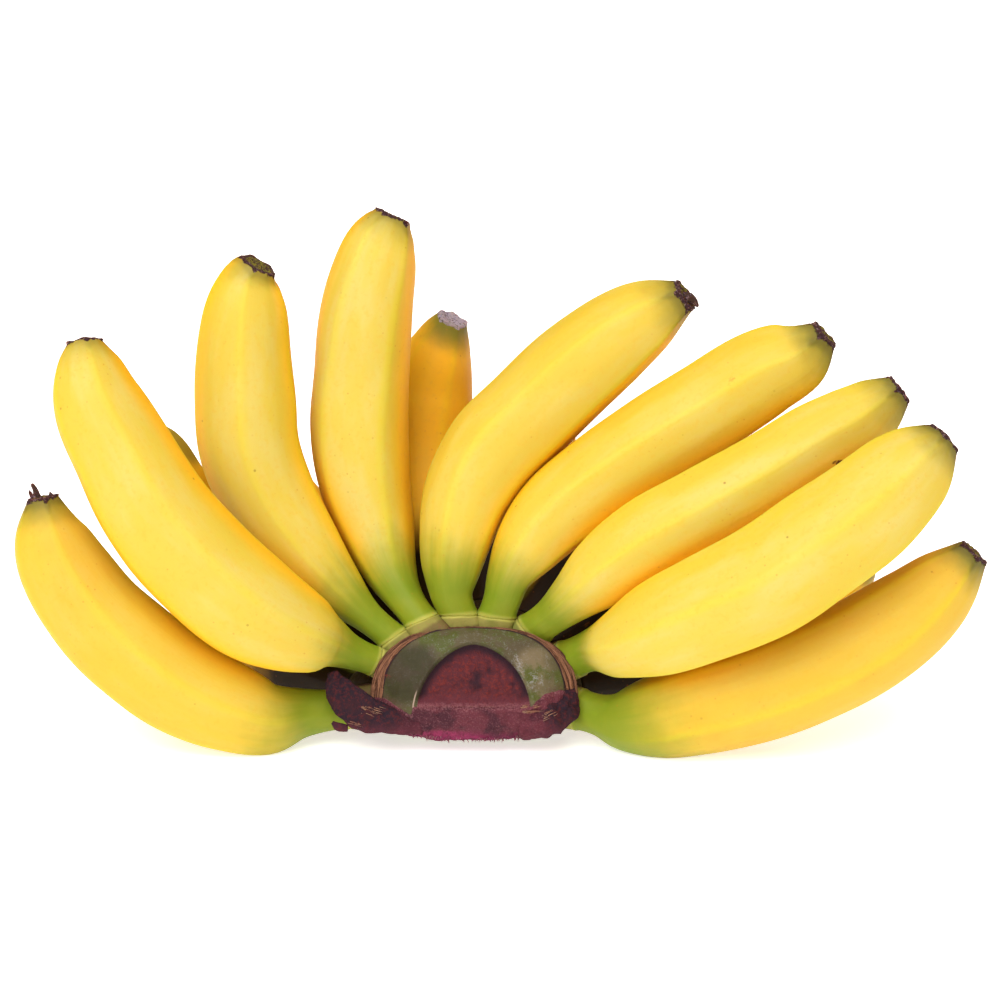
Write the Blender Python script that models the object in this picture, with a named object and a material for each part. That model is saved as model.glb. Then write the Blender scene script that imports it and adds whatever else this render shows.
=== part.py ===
"""A hand of baby bananas as cut from the stalk: a crown and two fanned rows of fingers.

It stands on the bellies of four fingers, the outermost two of each row, with the crown
just clear of the ground. Metres, +Z up, the open fan facing -Y, origin under the middle.
"""

import math

import bmesh
import bpy
from mathutils import Matrix, Vector

MM = 0.001

# How the hand stands
LEAN_DEG = 15.0  # the fan leans back from upright
CROWN_ACROSS = -7.9  # the crown's middle from the middle of the hand, mm
CROWN_BACK = -29.65
CROWN_HEIGHT = 10.9

# The skin of a finger
CURVE_STEPS = 24  # between two points of a finger's table
SIDES = 15
RIDGES = 5
RIDGE_HEIGHT = 0.03  # of the radius
RING_PLACES = (0, 0.05, 0.1, 0.15, 0.2, 0.26, 0.33, 0.41, 0.5, 0.59, 0.68, 0.76, 0.83, 0.885)
TIP_PLACES = (0.925, 0.955, 0.98, 1)

# The dried flower end: (outwards in mm, share of the tip's radius)
BARE_END = ((0.5, 0.9), (1.1, 0.6))
STYLE_END = ((0.6, 0.85), (1.4, 0.5), (3.0, 0.36), (4.2, 0.2))
STUB_END = ((0.6, 0.8), (1.6, 0.55), (3.2, 0.42))
END_POINTS = 0.12  # how far the crust's five points stand out, of its radius

# The joint between a finger and its pad on the crown, mm
JOINT_GAP = 0.3
PAD_LENGTH = 11.0
PAD_RINGS = ((JOINT_GAP, 0.25), (2.5, 0.55), (PAD_LENGTH, 0.45))  # (inwards, wider than the neck)
PAD_SIDES = 14

# The middle line of each finger from neck to tip, left to right, as
# (across, back, up, radius) in mm from the crown's middle, in the leaning fan
FRONT_ROW = (
    ((-31, 2, -1, 4.6), (-43, 0, -2, 6.5), (-52, -3, -3, 9.6), (-62, -5, 0.1, 11.7),
     (-74, -6, 5.8, 12.9), (-84, -7, 13.2, 13.2), (-95, -7, 23.2, 12.6), (-103.3, -7, 34.7, 11.6),
     (-107.3, -8, 43.8, 9.5), (-109, -9, 53.5, 4.1)),
    ((-23.8, -0.5, 11.3, 3.4), (-30.8, -3, 14.2, 4.7), (-35.5, -5.5, 16.5, 6.7),
     (-40.5, -9, 18.5, 10), (-53.5, -14, 25, 13.6), (-66.9, -17, 36.4, 14.3),
     (-78.9, -18, 50.4, 13.9), (-87.5, -17, 65.5, 12.8), (-94, -16, 78, 11.3),
     (-96.5, -15, 87.5, 8.2), (-97.5, -14, 93.2, 4.5)),
    ((-19.2, 2, 17.3, 3.6), (-26.5, 2.5, 23.3, 4.4), (-33.5, 3, 30, 7.1),
     (-42, 3.5, 39.5, 10.2), (-51.5, 4, 53.5, 12.3), (-56.6, 3, 67, 13.1), (-57.6, 2, 79.5, 13.1),
     (-57.9, 0, 92.5, 12.2), (-57.2, -2, 102.5, 10.8), (-56.5, -3, 107.7, 9.1),
     (-55.5, -4, 111.3, 7.2), (-53.9, -5, 114, 4.9)),
    ((-11.9, 1.5, 21.8, 3.9), (-16, 4.5, 27, 4.7), (-20, 8.5, 34, 6.8), (-24, 12.5, 45.5, 9.9),
     (-27.4, 13.5, 58, 12.1), (-28.8, 13, 72, 13), (-28, 11, 87.5, 12.6), (-26.4, 7, 103, 12.1),
     (-23.8, 4, 114.5, 10.7), (-22.6, 3.2, 120, 9.1), (-21, 2.8, 124, 7), (-19.2, 2.6, 126.6, 4.8)),
    ((-2.1, 1.5, 23.3, 4.2), (-4, 1.5, 28.5, 5.4), (-4, 2, 35, 7.6), (-2.7, 3.5, 44, 9.6),
     (0.5, 5.5, 55, 11.5), (7, 6, 66, 12.8), (17, 5, 76, 12.8), (28.5, 3, 87, 12.6),
     (39.5, 0, 96, 11.4), (48, -3, 101.5, 9), (56, -6, 105.7, 4.3)),
    ((7.7, 1.5, 23, 4.3), (9.5, 1, 28, 4.9), (11, 0.5, 33, 5.8), (15, 0, 40, 8.4),
     (22, 0, 48.5, 10.4), (33, -0.5, 57.2, 11.6), (47.6, -1.5, 67.5, 11.7), (63.1, -3.5, 77.2, 11.8),
     (76.7, -6, 86, 11.2), (85.8, -8, 90.4, 9), (91.7, -10, 95.4, 4.2)),
    ((17.7, 1.2, 19.8, 4.3), (22.5, -2, 23.5, 4.9), (27.5, -6, 28, 6.4), (35, -9.5, 34.5, 9.2),
     (45.5, -13, 42, 10.9), (60.5, -15, 50.5, 11), (76, -15.5, 59.2, 10.8), (89.4, -15, 67.5, 10.5),
     (99.5, -14.5, 73.2, 9.5), (105, -15, 77.3, 7.5), (110, -15.5, 81.2, 4.1)),
    ((27.2, 1, 12, 4.6), (33.2, -4.2, 14.6, 5.6), (39.5, -13, 16.5, 8.5), (48.5, -20, 20.5, 11.7),
     (60.5, -26, 26, 13.2), (75, -30, 33, 14.1), (88, -32, 42, 14), (100, -33, 51, 13.3),
     (108.2, -33, 58.5, 11.8), (113.6, -32, 63.6, 9.2), (118.7, -31, 68.3, 4.7)),
    ((29, 2, -1.2, 4.8), (35, -1, -2.7, 5.6), (40, -3, -3.6, 7.9), (48.5, -6, -2.6, 10.8),
     (59, -9, 0.3, 12.2), (74, -11, 4.5, 12.9), (88.5, -12, 10, 13.2), (103, -13, 17.6, 12.7),
     (113.8, -14, 25.1, 11.5), (121.7, -16, 32.7, 8.9), (128.6, -18, 40, 4.1)),
)
BACK_ROW = (
    ((-29, 15, 3, 4.4), (-37, 25, 5, 6), (-46, 37, 8, 9.5), (-56, 49, 13.5, 12),
     (-66, 60, 20.5, 12.8), (-75, 69, 29, 12.4), (-80, 74, 39, 10.6), (-82, 77, 47, 7.5),
     (-82.5, 78.5, 53, 4.2)),
    ((-24.5, 15, 12.4, 4.2), (-34, 19.5, 17.5, 6), (-48, 24.5, 25.5, 9.8), (-63.5, 29.5, 35.5, 11.2),
     (-76, 31, 46.5, 10.8), (-81.5, 28, 58, 10.4), (-84.5, 25, 66.5, 8.2), (-88, 21, 72, 4.2)),
    ((-16, 16, 18.8, 4.2), (-25.5, 26, 26, 5.8), (-38, 38, 36.5, 9.4), (-48.8, 45.5, 48.2, 11),
     (-59.3, 46.5, 60.5, 11.2), (-63.5, 43, 72, 9.3), (-65.2, 38, 81.3, 4.2)),
    ((-6, 16, 23, 4.3), (-8.5, 25, 31, 5.6), (-11.5, 35, 46, 9.8), (-12.6, 41, 64, 12.1),
     (-11.2, 41, 81.5, 12.1), (-8.9, 38, 91, 9.9), (-6.7, 36, 97.3, 7.2), (-4.5, 33.5, 102.2, 4.1)),
    ((4, 16, 23.5, 4.3), (4.5, 27, 31, 5.6), (7.5, 41, 42, 9.2), (11.5, 50, 54, 11.6),
     (17, 53, 66, 11.8), (21, 51, 76, 9.4), (25, 47, 84, 4.2)),
    ((13.8, 15.5, 20.3, 4.3), (19.5, 26, 25.5, 5.8), (29, 38, 35, 9.6), (41, 45, 46.5, 11.8),
     (54, 45, 58, 11.8), (64, 41, 66.5, 9.6), (72, 36, 73, 4.2)),
    ((22, 15, 13, 4.3), (30, 20, 17.5, 5.6), (43, 25, 25.5, 9.5), (60, 29, 34.5, 11.8),
     (75, 30, 43.5, 11.9), (87, 28, 53, 9.6), (96, 24, 61.5, 4.2)),
    ((27.5, 15, 4, 4.3), (36, 23, 5.5, 6), (49, 34, 8, 10), (64, 44, 12.3, 12.3),
     (78, 49, 16.5, 12.6), (91, 49, 22, 11.8), (100, 45.5, 29, 9.8), (105, 43, 34.8, 7.4),
     (108, 41, 39.5, 4.2)),
)
# How far each finger is turned about its own line, which places its five ridges
FRONT_ROLL_DEG = (0, 11, 0, 38, 46, 46, 30, 60, 34)
BACK_ROLL_DEG = (0, 15, 40, 10, 25, 5, 50, 30)

# The crown from its cut face to its back, as outlines in mm:
# (back, half width, top, bottom, squareness of the arch)
CROWN_SIDEWAYS = 1.9
CUT_FACE = ((-8.2, 14.2, 15.3, 2.4, 1.6), (-10, 15.1, 16.3, 3.0, 1.6))
COLLAR = ((-9.7, 16.3, 17.2, 4.0, 1.7), (-8.2, 20.4, 18.9, 6.6, 2.1), (-5.8, 25.4, 20, 8.8, 2.6))
LEAF_SCAR = ((-5.2, 24.8, 19.4, 8.6, 2.6), (-4.5, 26, 20.4, 8.7, 2.6))
CUSHION = ((-3.6, 24.4, 18.8, 8.4, 2.6), (5, 23.5, 18.2, 8, 2.6), (15, 22.6, 17.6, 7, 2.5),
           (20, 19.5, 15, 5.8, 2.3), (23, 12, 9.5, 4, 2.1))
CROWN_POINTS = 48

# Edges sharper than these show as edges, degrees
FINGER_SHARP_DEG = 50
CROWN_SHARP_DEG = 38

# Two torn rags of leaf base beside the cut, each as a bent bar of oval section:
# (across, back, up, half width, half thickness) in mm
LEFT_RAG = ((-12, -7, -4.5, 2.6, 1.6), (-19, -8, -3.6, 3.3, 2), (-26, -8.4, -1.6, 4.9, 1.8),
            (-31, -8.4, 2, 4.6, 1.5), (-33.6, -8.2, 6.2, 3.2, 1.1), (-34.4, -8, 9.2, 1.4, 0.7))
RIGHT_RAG = ((15, -7, -4.4, 3, 2), (20.5, -7.4, -3.4, 4.4, 2.6), (25, -6.6, -1.6, 4.2, 2.4),
             (27.6, -5.6, 1.6, 3, 1.8), (28, -5, 4.6, 1.5, 1))
RAG_SIDES = 10

SKIN = {"colour": (0.91, 0.66, 0.10), "roughness": 0.42}
BACK_SKIN = {"colour": (0.85, 0.53, 0.06), "roughness": 0.45}
CROWN_SKIN = {"colour": (0.17, 0.11, 0.07), "roughness": 0.6}

FACING = Vector((0, -1, 0))


def clear_scene():
    for obj in list(bpy.data.objects):
        bpy.data.objects.remove(obj, do_unlink=True)


def make_material(name, colour, roughness, metallic=0.0):
    material = bpy.data.materials.new(name)
    material.use_nodes = True
    skin = material.node_tree.nodes["Principled BSDF"]
    skin.inputs["Base Color"].default_value = (*colour, 1)
    skin.inputs["Roughness"].default_value = roughness
    skin.inputs["Metallic"].default_value = metallic
    return material


def make_object(name, bm, material=None):
    bmesh.ops.recalc_face_normals(bm, faces=bm.faces)
    mesh = bpy.data.meshes.new(name)
    bm.to_mesh(mesh)
    bm.free()
    if material:
        mesh.materials.append(material)
    obj = bpy.data.objects.new(name, mesh)
    bpy.context.scene.collection.objects.link(obj)
    return obj


def shade(obj, sharp_deg):
    obj.data.shade_smooth()
    obj.data.set_sharp_from_angle(angle=math.radians(sharp_deg))


def curve_through(points):
    """Points close together on a smooth curve through the given ones, by centripetal steps."""
    points = [Vector(p) for p in points]
    points = [2 * points[0] - points[1], *points, 2 * points[-1] - points[-2]]
    found = []
    for a, b, c, d in zip(points, points[1:], points[2:], points[3:]):
        knots = [0.0]
        for p, q in ((a, b), (b, c), (c, d)):
            knots.append(knots[-1] + math.sqrt((q - p).length))
        t0, t1, t2, t3 = knots
        for step in range(CURVE_STEPS):
            t = t1 + (t2 - t1) * step / CURVE_STEPS
            ab = a.lerp(b, (t - t0) / (t1 - t0))
            bc = b.lerp(c, (t - t1) / (t2 - t1))
            cd = c.lerp(d, (t - t2) / (t3 - t2))
            abc = ab.lerp(bc, (t - t0) / (t2 - t0))
            bcd = bc.lerp(cd, (t - t1) / (t3 - t1))
            found.append(abc.lerp(bcd, (t - t1) / (t2 - t1)))
    return [*found, points[-2]]


def at_shares(points, shares):
    """(point, direction) at each share of the curve's length."""
    places = [p.to_3d() for p in points]
    lengths = [0.0]
    for p, q in zip(places, places[1:]):
        lengths.append(lengths[-1] + (q - p).length)
    for share in shares:
        goal = share * lengths[-1]
        i = next(k for k in range(len(points) - 1) if lengths[k + 1] >= goal - 1e-9)
        part = (goal - lengths[i]) / (lengths[i + 1] - lengths[i])
        before, after = max(i - 1, 0), min(i + 2, len(points) - 1)
        yield points[i].lerp(points[i + 1], part), (places[after] - places[before]).normalized()


def ring_points(middle, direction, facing, radius_at, sides):
    """Points round a ring, the first one to the side that faces, and that side made square."""
    facing = (facing - direction * facing.dot(direction)).normalized()
    side = direction.cross(facing)
    points = []
    for k in range(sides):
        turn = math.tau * k / sides
        points.append(middle + radius_at(turn) * (facing * math.cos(turn) + side * math.sin(turn)))
    return points, facing


def join_rings(bm, rings):
    """A closed skin over rings that have the same number of points."""
    loops = [[bm.verts.new(p) for p in ring] for ring in rings]
    for low, high in zip(loops, loops[1:]):
        for k, vert in enumerate(low):
            after = (k + 1) % len(low)
            bm.faces.new((vert, low[after], high[after], high[k]))
    bm.faces.new(loops[0][::-1])
    bm.faces.new(loops[-1])


def stand(point):
    """From the leaning fan, in mm, to the hand as it stands, in metres."""
    leaning = Matrix.Rotation(-math.radians(LEAN_DEG), 3, "X") @ point
    return (leaning + Vector((CROWN_ACROSS, CROWN_BACK, CROWN_HEIGHT))) * MM


def stand_up(bm):
    for vert in bm.verts:
        vert.co = stand(vert.co)


def flatten_on_ground(bm):
    """Cuts off what would press into the ground, which leaves a small flat spot."""
    geometry = [*bm.verts, *bm.edges, *bm.faces]
    if min(vert.co.z for vert in bm.verts) >= 0:
        return
    bmesh.ops.bisect_plane(
        bm, geom=geometry, plane_co=(0, 0, 0), plane_no=(0, 0, -1), clear_outer=True
    )
    bmesh.ops.holes_fill(bm, edges=[edge for edge in bm.edges if edge.is_boundary], sides=0)


def make_finger(name, line, roll_deg, end, material):
    roll = math.radians(roll_deg)

    def skin_radius(radius):
        return lambda turn: radius * (1 + RIDGE_HEIGHT * math.cos(RIDGES * (turn - roll)))

    def crust_radius(radius):
        return lambda turn: radius * (1 + END_POINTS * math.cos(RIDGES * (turn - roll)))

    facing, rings = FACING, []
    for point, direction in at_shares(curve_through(line), RING_PLACES + TIP_PLACES):
        ring, facing = ring_points(
            point.to_3d(), direction, facing, skin_radius(point[3]), SIDES
        )
        rings.append(ring)
    tip, radius = Vector(line[-1][:3]), line[-1][3]
    for outwards, share in end:
        middle = tip + direction * outwards
        ring, facing = ring_points(
            middle, direction, facing, crust_radius(radius * share), SIDES
        )
        rings.append(ring)
    bm = bmesh.new()
    join_rings(bm, rings)
    stand_up(bm)
    flatten_on_ground(bm)
    shade(make_object(name, bm, material), FINGER_SHARP_DEG)


def make_row(name, lines, rolls, ends, material):
    for number, (line, roll) in enumerate(zip(lines, rolls), 1):
        make_finger(f"{name}_{number}", line, roll, ends.get(number, BARE_END), material)


def arch_outline(back, half_width, top, bottom, squareness):
    """An arch over a shallow rounded floor, upright across the fan."""
    points = []
    for k in range(CROWN_POINTS):
        turn = math.tau * k / CROWN_POINTS
        across, up = math.cos(turn), math.sin(turn)
        across = math.copysign(abs(across) ** (2 / squareness), across)
        up = math.copysign(abs(up) ** (2 / squareness), up)
        height = top if up > 0 else bottom
        points.append(Vector((CROWN_SIDEWAYS + half_width * across, back, height * up)))
    return points


def crown_body():
    bm = bmesh.new()
    join_rings(bm, [arch_outline(*row) for row in CUT_FACE + COLLAR + LEAF_SCAR + CUSHION])
    return bm


def pad(line):
    """The stump of a finger's neck on the crown, sunk into it, that ends just under the joint."""
    point, direction = next(at_shares(curve_through(line), (0,)))
    rings = []
    for inwards, widening in PAD_RINGS:
        ring, _ = ring_points(
            point.to_3d() - direction * inwards, direction, FACING,
            lambda turn, radius=point[3] + widening: radius, PAD_SIDES,
        )
        rings.append(ring)
    bm = bmesh.new()
    join_rings(bm, rings[::-1])
    return bm


def rag(rows):
    """A bar of oval section, flat to the front, through (across, back, up) points."""
    rings = []
    for k, (across, back, up, half_width, half_thickness) in enumerate(rows):
        before, after = rows[max(k - 1, 0)], rows[min(k + 1, len(rows) - 1)]
        direction = (Vector(after[:3]) - Vector(before[:3])).normalized()

        def oval(turn, wide=half_width, thick=half_thickness):
            return wide * thick / math.hypot(wide * math.cos(turn), thick * math.sin(turn))

        ring, _ = ring_points(Vector((across, back, up)), direction, FACING, oval, RAG_SIDES)
        rings.append(ring)
    bm = bmesh.new()
    join_rings(bm, rings)
    return bm


def make_crown(material):
    """The body with a pad for every finger and both rags, joined into one solid."""
    body = crown_body()
    stand_up(body)
    crown = make_object("crown", body, material)
    joined = bpy.data.collections.new("joined_to_crown")
    pieces = [pad(line) for line in FRONT_ROW + BACK_ROW] + [rag(LEFT_RAG), rag(RIGHT_RAG)]
    for number, bm in enumerate(pieces):
        stand_up(bm)
        joined.objects.link(make_object(f"crown_piece_{number}", bm))
    union = crown.modifiers.new("union", "BOOLEAN")
    union.operation, union.operand_type, union.solver = "UNION", "COLLECTION", "EXACT"
    union.collection = joined
    graph = bpy.context.evaluated_depsgraph_get()
    whole = bpy.data.meshes.new_from_object(crown.evaluated_get(graph))
    crown.modifiers.clear()
    crown.data = whole
    crown.data.name = "crown"
    for piece in list(joined.objects):
        bpy.data.objects.remove(piece, do_unlink=True)
    bpy.data.collections.remove(joined)
    shade(crown, CROWN_SHARP_DEG)


def main():
    clear_scene()
    make_crown(make_material("crown", **CROWN_SKIN))
    make_row("front_finger", FRONT_ROW, FRONT_ROLL_DEG, {1: STYLE_END, 5: STUB_END},
             make_material("front_skin", **SKIN))
    make_row("back_finger", BACK_ROW, BACK_ROLL_DEG, {}, make_material("back_skin", **BACK_SKIN))


main()
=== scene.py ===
# %% [markdown]
# # A hand of baby bananas
#
# This lesson dresses a plain solid model of a hand of baby bananas: nine fingers in the front
# row, eight in the back row, and the crown that they all grow from. The solid model is loaded as
# a fixed frame. Everything made below stands where its solid stands, and the solid is then
# hidden.

# %% Load the frame
import math
import random

import bmesh
import bpy
from mathutils import Matrix, Vector, kdtree, noise


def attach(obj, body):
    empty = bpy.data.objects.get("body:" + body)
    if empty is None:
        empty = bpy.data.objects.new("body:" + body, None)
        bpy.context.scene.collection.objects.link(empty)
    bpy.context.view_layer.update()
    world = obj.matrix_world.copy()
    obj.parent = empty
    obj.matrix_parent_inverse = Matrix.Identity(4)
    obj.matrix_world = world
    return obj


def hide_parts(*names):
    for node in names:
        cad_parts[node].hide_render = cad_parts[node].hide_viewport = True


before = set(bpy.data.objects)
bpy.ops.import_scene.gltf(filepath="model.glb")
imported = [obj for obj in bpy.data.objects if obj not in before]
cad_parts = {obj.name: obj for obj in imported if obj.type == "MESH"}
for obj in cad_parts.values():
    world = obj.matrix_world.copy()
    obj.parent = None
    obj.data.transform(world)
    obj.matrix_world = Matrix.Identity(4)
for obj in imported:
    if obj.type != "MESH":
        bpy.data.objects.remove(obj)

scene = bpy.context.scene
MM = 0.001
NOISE_SEED = 7
noise.seed_set(NOISE_SEED)  # unseeded, noise_vector follows the clock and differs at each run
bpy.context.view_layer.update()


# %% [markdown]
# ## Where the hand stands
#
# The fan is easiest to see as a flat picture: across, back and up, in millimetres from the middle
# of the crown. The real hand leans back by 15 degrees, so one small function turns a point of
# that picture into its place in the scene. That keeps every table below easy to read.

# %% From the upright fan to the standing hand
LEAN_DEG = 15.0
CROWN_PLACE = Vector((-7.9, -29.65, 10.9))
LEAN = Matrix.Rotation(-math.radians(LEAN_DEG), 3, "X")
FACING = Vector((0, -1, 0))


def stand(point):
    """From the upright fan, in mm, to the hand as it stands, in metres."""
    return (LEAN @ Vector(point) + CROWN_PLACE) * MM


print("the crown's middle stands at", [round(v, 4) for v in stand((0, 0, 0))])

# %% [markdown]
# ## Camera
#
# A fan that leans back by 15 degrees looks upright and unforeshortened to a camera that looks
# down by the same 15 degrees, so the camera is placed in the fan's own measures too. A long lens
# from 750 mm away keeps the outer fingers from swelling.

# %% The camera
SENSOR = 36.0
VIEW_WIDTH = 260.0
DISTANCE = 750.0

eye = bpy.data.objects.new("camera", bpy.data.cameras.new("camera"))
scene.collection.objects.link(eye)
eye.location = stand((8.58, -DISTANCE, 53.3))
eye.rotation_euler = (math.radians(90 - LEAN_DEG), 0, 0)
eye.data.sensor_width = SENSOR
eye.data.lens = SENSOR * DISTANCE / VIEW_WIDTH
eye.data.clip_start = 0.01
scene.camera = eye
print("camera at", [round(v, 3) for v in eye.location], "lens", round(eye.data.lens, 1))

# %% [markdown]
# ## Floor and light
#
# A fruit catalogue is lit like this: a white table that glows a little from below, one broad soft
# light from high in front and a little to the left, a weak one from above, and a warm glow from
# the room, which turns the sides of the fruit orange instead of grey. A sun lamp with a very wide
# angle does the work of a huge soft box and lights the whole table evenly, which a near lamp
# can't. The table is overexposed until hardly a shadow is left on it, so every paint further down
# is darkened by the same measure.

# %% The table and the lamps
FLOOR_SIZE = 8.0
FLOOR_COLOUR = (0.92, 0.94, 0.97)
FLOOR_GLOW = 0.6
ROOM_COLOUR = (1.0, 0.45, 0.10)
ROOM_LIGHT = 0.45
MAIN_LIGHT, TOP_LIGHT = 4.0, 0.9
OVEREXPOSED = 1.36


def soft_sun(name, azimuth_deg, height_deg, wide_deg, power):
    """A wide sun; azimuth 0 shines from the viewer's side, and more of it from the right."""
    light = bpy.data.lights.new(name, "SUN")
    light.energy, light.angle = power, math.radians(wide_deg)
    holder = bpy.data.objects.new(name, light)
    scene.collection.objects.link(holder)
    holder.location = (0, 0, 1)
    holder.rotation_euler = (math.radians(90 - height_deg), 0, math.radians(azimuth_deg))


table_top = bmesh.new()
bmesh.ops.create_grid(table_top, x_segments=1, y_segments=1, size=FLOOR_SIZE / 2)
floor_mesh = bpy.data.meshes.new("floor")
table_top.to_mesh(floor_mesh)
table_top.free()
floor = bpy.data.objects.new("floor", floor_mesh)
scene.collection.objects.link(floor)
floor_paint = bpy.data.materials.new("pale table")
floor_paint.use_nodes = True
floor_skin = floor_paint.node_tree.nodes["Principled BSDF"]
floor_skin.inputs["Base Color"].default_value = (*FLOOR_COLOUR, 1)
floor_skin.inputs["Roughness"].default_value = 0.9
floor_skin.inputs["Specular IOR Level"].default_value = 0.1
floor_skin.inputs["Emission Color"].default_value = (1, 1, 1, 1)
floor_skin.inputs["Emission Strength"].default_value = FLOOR_GLOW
floor_mesh.materials.append(floor_paint)

soft_sun("main light from the left", -22, 50, 55, MAIN_LIGHT)
soft_sun("weak light from above", 120, 75, 60, TOP_LIGHT)
scene.world = bpy.data.worlds.new("bright room")
scene.world.use_nodes = True
room = scene.world.node_tree.nodes["Background"]
room.inputs["Color"].default_value = (*ROOM_COLOUR, 1)
room.inputs["Strength"].default_value = ROOM_LIGHT
scene.view_settings.view_transform = "Standard"

# %% [markdown]
# ## Shader maths in plain Python
#
# A material is a web of nodes. Wiring it by hand hides the idea, so one small class wraps a
# socket and lets Python's own signs make the Math nodes: `1 - mask` or `grain * 0.3` then reads
# as what it does. Any other node comes from the method `node`. A finish is then built up like
# coats of paint: each coat is a colour and a mask that says where it covers.

# %% A socket that can be reckoned with
class Wire:
    """One socket of a material's node tree."""

    def __init__(self, tree, socket=None):
        self.tree, self.socket = tree, socket

    def node(self, kind, settings=None, sockets=None, out=0):
        """A new node: its settings, then values or wires for its sockets, by name or in order."""
        made = self.tree.nodes.new(kind)
        for name, value in (settings or {}).items():
            setattr(made, name, value)
        if isinstance(sockets, tuple):
            sockets = dict(enumerate(sockets))
        for name, value in (sockets or {}).items():
            socket = self.find(made.inputs, name)
            if isinstance(value, Wire):
                self.tree.links.new(value.socket, socket)
            else:
                socket.default_value = value
        return Wire(self.tree, self.find(made.outputs, out))

    @staticmethod
    def find(sockets, name):
        if isinstance(name, int):
            return sockets[name]
        return next((s for s in sockets if s.identifier == name), None) or sockets[name]

    def sum(self, operation, first, second):
        return self.node("ShaderNodeMath", {"operation": operation}, (first, second))

    def __add__(self, other):
        return self.sum("ADD", self, other)

    def __radd__(self, other):
        return self.sum("ADD", other, self)

    def __sub__(self, other):
        return self.sum("SUBTRACT", self, other)

    def __rsub__(self, other):
        return self.sum("SUBTRACT", other, self)

    def __mul__(self, other):
        return self.sum("MULTIPLY", self, other)

    def __rmul__(self, other):
        return self.sum("MULTIPLY", other, self)

    def __truediv__(self, other):
        return self.sum("DIVIDE", self, other)

    def rise(self, low, high):
        """0 below low, 1 above high, and an easy slope between; low may be the greater."""
        return self.node(
            "ShaderNodeMapRange", {"interpolation_type": "SMOOTHSTEP"},
            {"Value": self, "From Min": low, "From Max": high},
        )

    def stretch(self, factors):
        return self.node("ShaderNodeVectorMath", {"operation": "MULTIPLY"}, (self, factors))

    def grain(self, scale, detail=3.0, roughness=0.55):
        """Noise between 0 and 1 over these coordinates."""
        return self.node(
            "ShaderNodeTexNoise", {"normalize": True},
            {"Vector": self, "Scale": scale, "Detail": detail, "Roughness": roughness},
        )

    def carried(self, name, out="Vector"):
        """What every point of the mesh carries under this name."""
        return self.node("ShaderNodeAttribute", {"attribute_name": name}, None, out)

    def parts(self):
        apart = self.node("ShaderNodeSeparateXYZ", None, (self,)).socket.node
        return [Wire(self.tree, socket) for socket in apart.outputs]

    def tint(self, over, share):
        """This colour, with another laid over it by a share between 0 and 1."""
        over = over if isinstance(over, Wire) else self.colour(over)
        return self.node(
            "ShaderNodeMix", {"data_type": "RGBA"},
            {"Factor_Float": share, "A_Color": self, "B_Color": over}, "Result_Color",
        )

    def coats(self, *coats):
        """This colour under several others, (colour, share) each, from the lowest up."""
        under = self
        for over, share in coats:
            under = under.tint(over, share)
        return under

    def colour(self, rgb):
        made = self.node("ShaderNodeRGB")
        made.socket.default_value = (*[share / OVEREXPOSED for share in rgb], 1)
        return made

    def specks(self, scale, edge, middle, which, rare):
        """Round dots in some cells of a Voronoi pattern: the greater rare is, the fewer."""
        cells = {"Vector": self, "Scale": scale}
        away = self.node("ShaderNodeTexVoronoi", {"feature": "F1"}, cells, "Distance")
        lucky = self.node("ShaderNodeTexVoronoi", {"feature": "F1"}, cells, "Color").parts()
        return away.rise(edge, middle) * lucky[which].rise(rare, 0.95)

    def spot(self, place, radii):
        """1 inside a small ellipsoid at this place of the upright fan, in mm, 0 outside it."""
        away = self.node("ShaderNodeVectorMath", {"operation": "SUBTRACT"}, (self, stand(place)))
        away = away.stretch([1 / (radius * MM) for radius in radii])
        away = self.node("ShaderNodeVectorMath", {"operation": "LENGTH"}, (away,), "Value")
        return away.rise(1.1, 0.7)


def paint(name):
    """A new material: (material, a wire to start from, its Object coordinates)."""
    material = bpy.data.materials.new(name)
    material.use_nodes = True
    start = Wire(material.node_tree)
    return material, start, start.node("ShaderNodeTexCoord", None, None, "Object")


def finish_paint(start, colour, roughness, relief, depth, gloss=0.5):
    """Feeds the colour, roughness and relief into the Principled node. depth is in metres."""
    tree = start.tree
    skin = tree.nodes["Principled BSDF"]
    skin.inputs["Specular IOR Level"].default_value = gloss
    bump = start.node(
        "ShaderNodeBump", None, {"Height": relief, "Distance": depth, "Strength": 1.0}, "Normal"
    )
    for wire, socket in ((colour, "Base Color"), (roughness, "Roughness"), (bump, "Normal")):
        tree.links.new(wire.socket, skin.inputs[socket])
    return skin


print("shader helpers ready")

# %% [markdown]
# ## The line of each finger
#
# A banana is a tube that swells and shrinks along a bent line. So each finger starts as seven
# or more points on its middle line, from the neck to the flower end, with its radius at each.
# The tables are the ones that the solids were made from, so each finger stays in its place. Only
# the flower end of the fourth front finger points up a little more than in its solid.

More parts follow.
